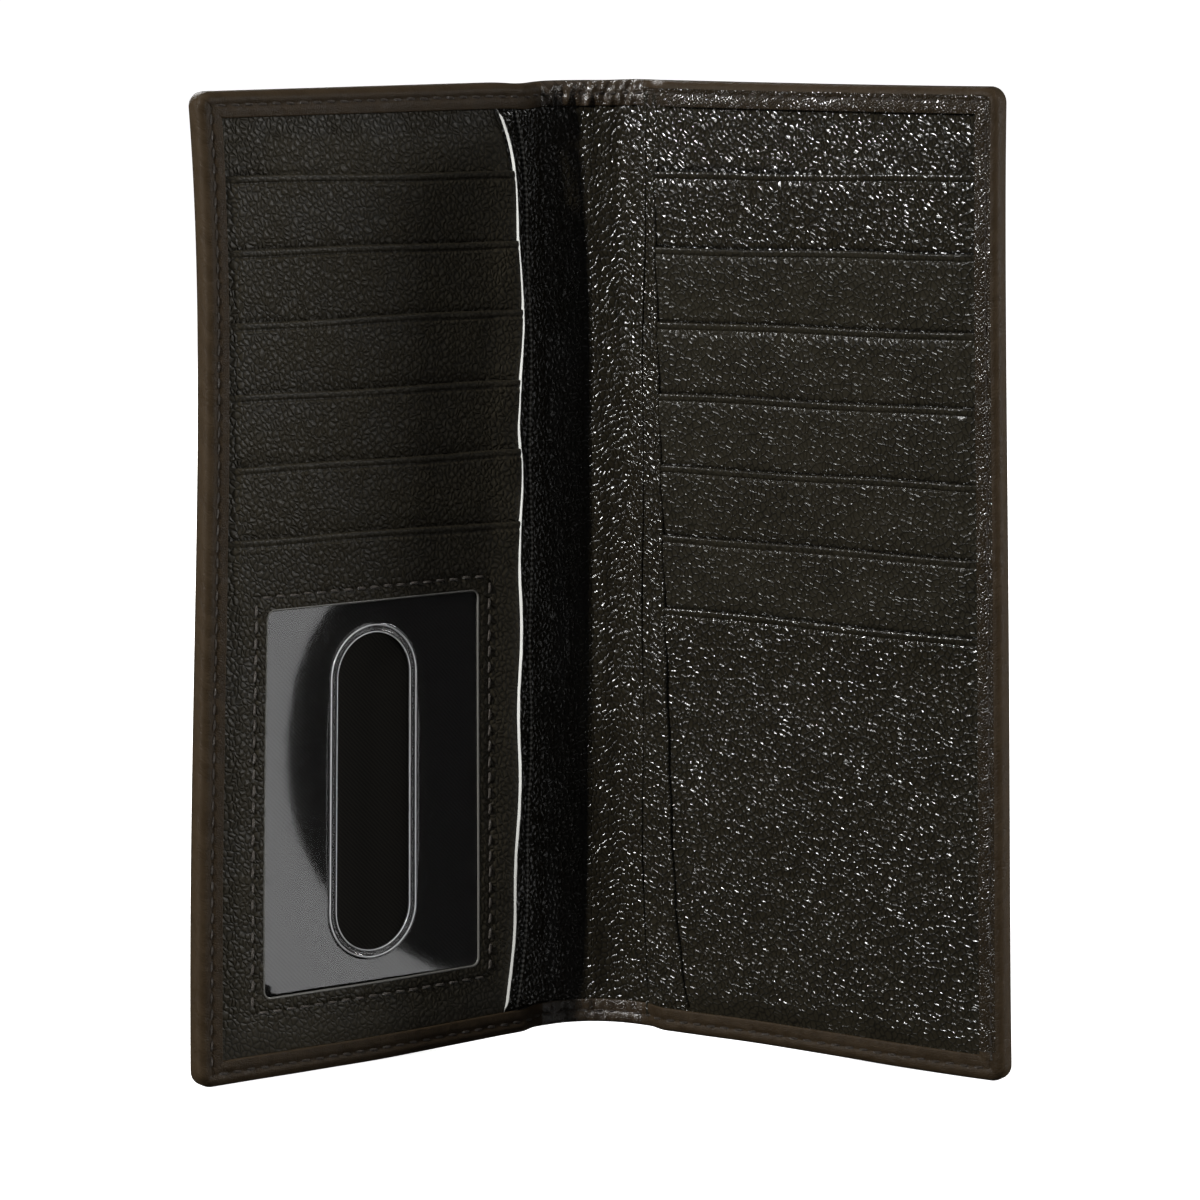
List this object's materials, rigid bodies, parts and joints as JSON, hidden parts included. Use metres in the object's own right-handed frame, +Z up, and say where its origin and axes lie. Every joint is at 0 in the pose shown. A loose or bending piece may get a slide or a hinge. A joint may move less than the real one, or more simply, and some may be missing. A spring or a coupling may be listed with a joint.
{
  "type": "long folding leather wallet",
  "caption": "Long leather wallet standing open, with overlapping card slots on both wings, a clear identity window with a thumb slot, and long pockets behind them.",
  "frame": {"origin": "centre of the bounding box's bottom face, on the surface the wallet stands on", "axes": "+Z up along the spine, +X to the right of someone looking into the open wallet, +Y from the opening towards the back of the spine"},
  "size_m": [0.15, 0.0516, 0.184],
  "materials": {
    "cover_leather": "fine-grained dark brown, semi-gloss on the turned edges",
    "panel_leather": "pebbled, nearly black brown, soft sheen with small glints",
    "lining_cloth": "black diagonal twill",
    "stiffener_board": "matt bonded fibre board, hidden",
    "window_film": "clear soft film with a welded rim",
    "thread": "twisted dark brown thread"
  },
  "bodies": {
    "spine": {"cover_spine": "cover_leather", "spine_edge_stitching": "thread", "spine_lining": "panel_leather"},
    "left_wing": {"cover_left": "cover_leather", "left_bill_divider": "panel_leather", "left_cover_lining": "lining_cloth", "left_edge_stitching": "thread", "left_lining_facing": "panel_leather", "left_pocket_back": "panel_leather", "left_slot_lining_1": "lining_cloth", "left_slot_lining_2": "lining_cloth", "left_slot_lining_3": "lining_cloth", "left_slot_lining_4": "lining_cloth", "left_slot_lining_5": "lining_cloth", "left_slot_strip_1": "panel_leather", "left_slot_strip_2": "panel_leather", "left_slot_strip_3": "panel_leather", "left_slot_strip_4": "panel_leather", "left_slot_strip_5": "panel_leather", "left_stiffener": "stiffener_board", "left_top_band": "panel_leather", "left_window_backing": "lining_cloth", "left_window_panel": "panel_leather", "left_window_plastic": "window_film", "left_window_stitching": "thread"},
    "right_wing": {"cover_right": "cover_leather", "right_bill_divider": "panel_leather", "right_cover_lining": "lining_cloth", "right_edge_stitching": "thread", "right_front_panel": "panel_leather", "right_lining_facing": "panel_leather", "right_pocket_back": "panel_leather", "right_slot_lining_1": "lining_cloth", "right_slot_lining_2": "lining_cloth", "right_slot_lining_3": "lining_cloth", "right_slot_lining_4": "lining_cloth", "right_slot_lining_5": "lining_cloth", "right_slot_lining_6": "lining_cloth", "right_slot_strip_1": "panel_leather", "right_slot_strip_2": "panel_leather", "right_slot_strip_3": "panel_leather", "right_slot_strip_4": "panel_leather", "right_slot_strip_5": "panel_leather", "right_slot_strip_6": "panel_leather", "right_stiffener": "stiffener_board", "right_top_band": "panel_leather"}
  },
  "joints": [
    {"name": "left_fold", "type": "hinge", "parent": "spine", "child": "left_wing", "pos_m": [-0.00945, 0.02286, 0], "axis": [0, 0, 1], "range_deg": [-34.6, 58.5]},
    {"name": "right_fold", "type": "hinge", "parent": "spine", "child": "right_wing", "pos_m": [0.00945, 0.02286, 0], "axis": [0, 0, -1], "range_deg": [-34.6, 58.5]}
  ]
}
